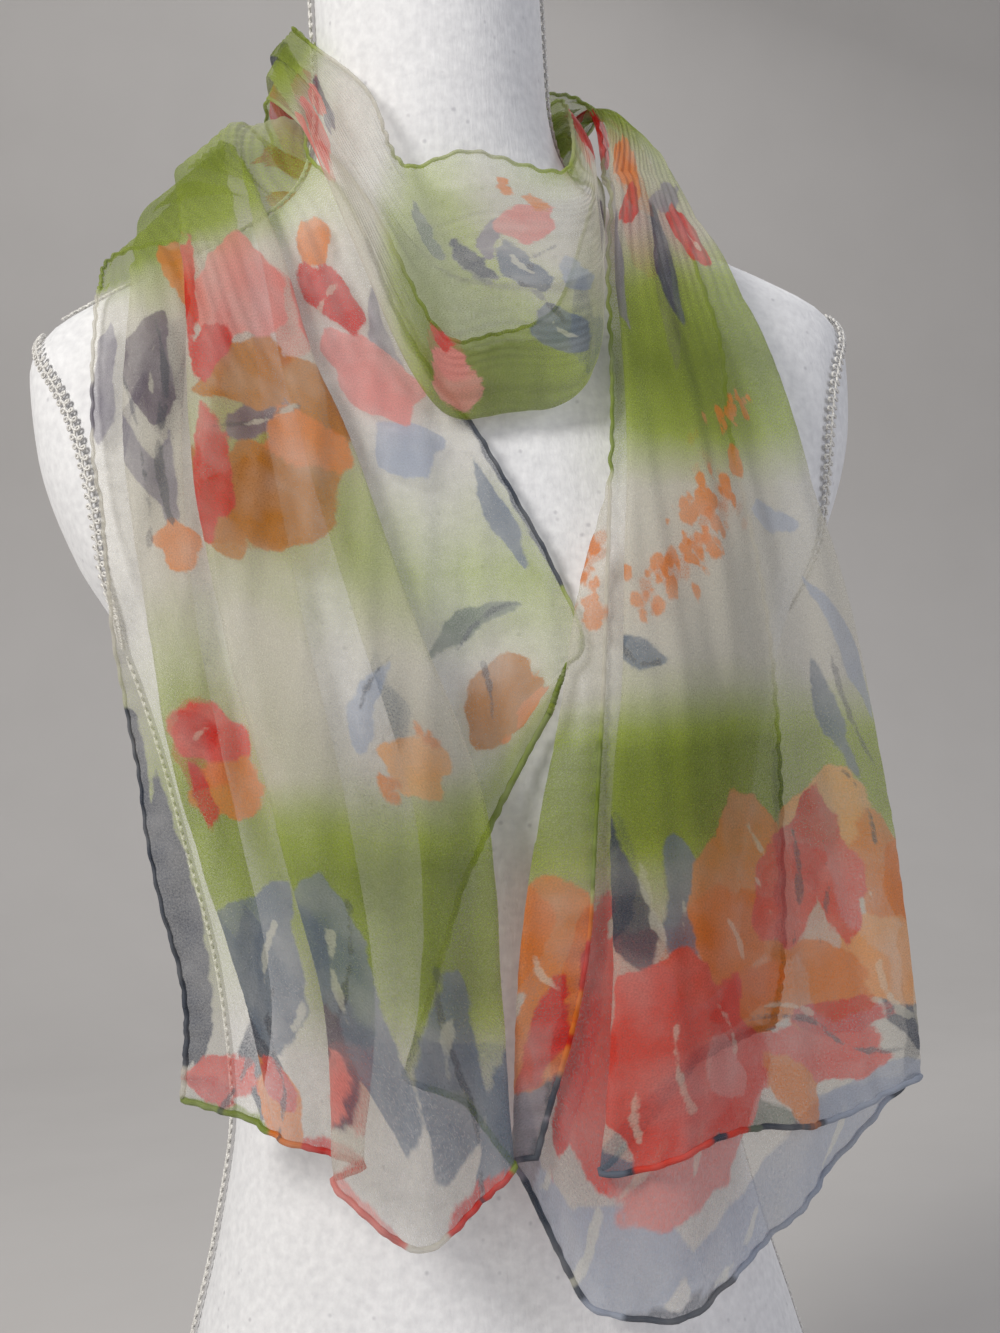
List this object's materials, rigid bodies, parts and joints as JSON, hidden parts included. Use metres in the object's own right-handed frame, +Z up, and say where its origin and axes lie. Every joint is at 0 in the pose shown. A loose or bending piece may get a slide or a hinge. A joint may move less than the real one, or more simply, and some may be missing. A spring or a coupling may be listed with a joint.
{
  "type": "chiffon scarf on a dress form",
  "caption": "Sheer floral chiffon scarf wound round the neck of a white limbless dress form, both tails hanging in front in loose pleats.",
  "frame": {"origin": "middle of the dress form's flat underside", "axes": "+Z up along the form, -Y the way the wearer's front faces, +X to the right of someone who looks at that front"},
  "size_m": [0.388, 0.2619, 0.8],
  "materials": {
    "jersey": "matt white knitted cover, stretched smooth",
    "gimp": "looped gimp braid in silvery white thread",
    "chiffon": "sheer printed crepe chiffon with a narrow rolled hem"
  },
  "bodies": {
    "root": {"form_body": "jersey", "braid_armhole_left": "gimp", "braid_armhole_right": "gimp", "braid_shoulder_left": "gimp", "braid_shoulder_right": "gimp", "braid_side_left": "gimp", "braid_side_right": "gimp", "scarf_left_tail": "chiffon", "scarf_inner_band": "chiffon", "scarf_front_loop": "chiffon", "scarf_outer_band": "chiffon", "scarf_right_tail": "chiffon"}
  },
  "joints": []
}
